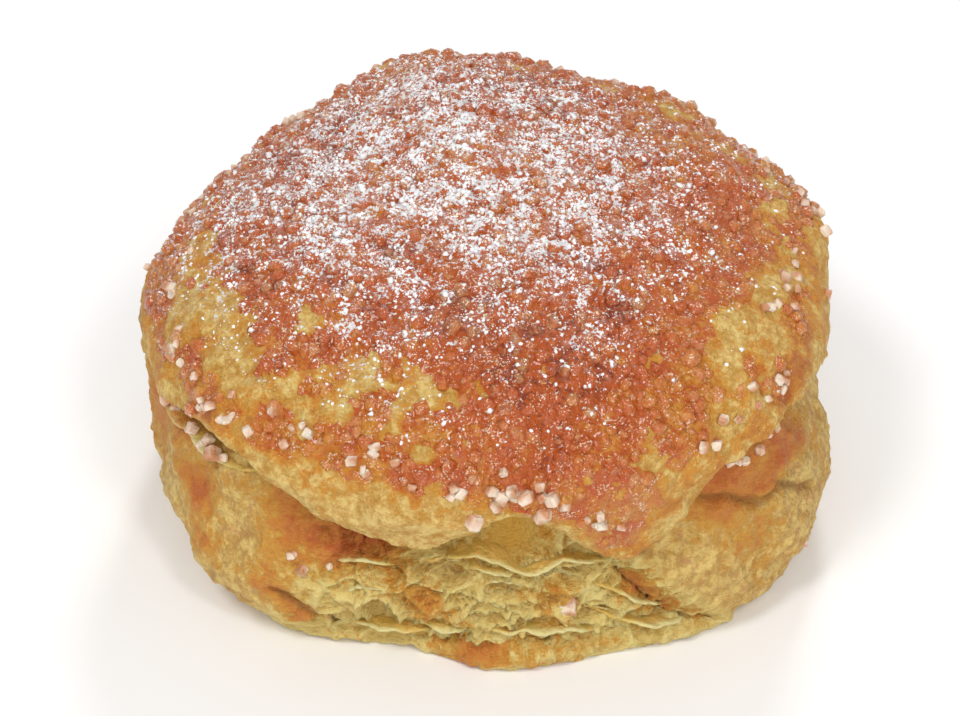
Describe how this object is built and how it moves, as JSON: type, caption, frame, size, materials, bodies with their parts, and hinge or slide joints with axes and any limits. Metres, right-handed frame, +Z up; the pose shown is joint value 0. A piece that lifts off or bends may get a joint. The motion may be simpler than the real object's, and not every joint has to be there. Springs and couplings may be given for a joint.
{
  "type": "custard pie",
  "caption": "Domed puff pastry pie with a coarse sugar crust, a lip hanging over a rounded lower half and thin pastry leaves showing in a gap at the front.",
  "frame": {"origin": "middle of the bounding box at the flat underside", "axes": "+Z up through the dome, -Y towards the gaping side"},
  "size_m": [0.0978, 0.0996, 0.057],
  "materials": {
    "pastry": null
  },
  "bodies": {
    "root": {"pastry": "pastry"}
  },
  "joints": []
}
